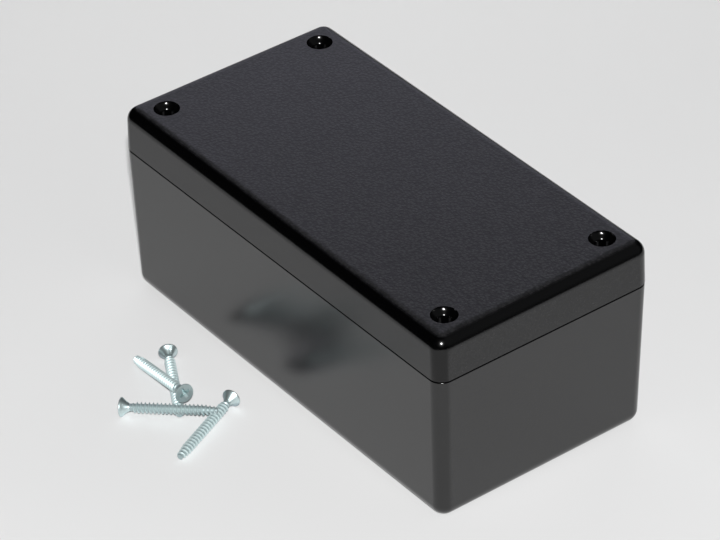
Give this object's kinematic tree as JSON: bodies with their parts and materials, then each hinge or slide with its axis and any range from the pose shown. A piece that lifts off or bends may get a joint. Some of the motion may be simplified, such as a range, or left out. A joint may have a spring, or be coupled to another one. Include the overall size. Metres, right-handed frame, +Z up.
{
  "type": "plastic project box",
  "caption": "Rectangular black moulded plastic enclosure for electronics, with a deep base, a lift-off lid with countersunk corner holes, and loose countersunk lid screws.",
  "frame": {"origin": "centre of the box's flat bottom, at the level of what it stands on", "axes": "+Z up, +X along the box's length, the loose screws lie on the -Y side"},
  "size_m": [0.131, 0.103, 0.055],
  "materials": {
    "case_plastic": "black moulded plastic with a fine leather-like grain, semi-matte",
    "screw_zinc": "bright zinc-plated steel with a faint blue tint"
  },
  "bodies": {
    "base": {"base": "case_plastic", "lid_screw_1": "screw_zinc", "lid_screw_2": "screw_zinc", "lid_screw_3": "screw_zinc", "lid_screw_4": "screw_zinc"},
    "lid": {"lid": "case_plastic"}
  },
  "joints": [
    {"name": "lid_lift", "type": "slide", "parent": "base", "child": "lid", "axis": [0, 0, 1], "range_m": [0, 0.07]}
  ]
}
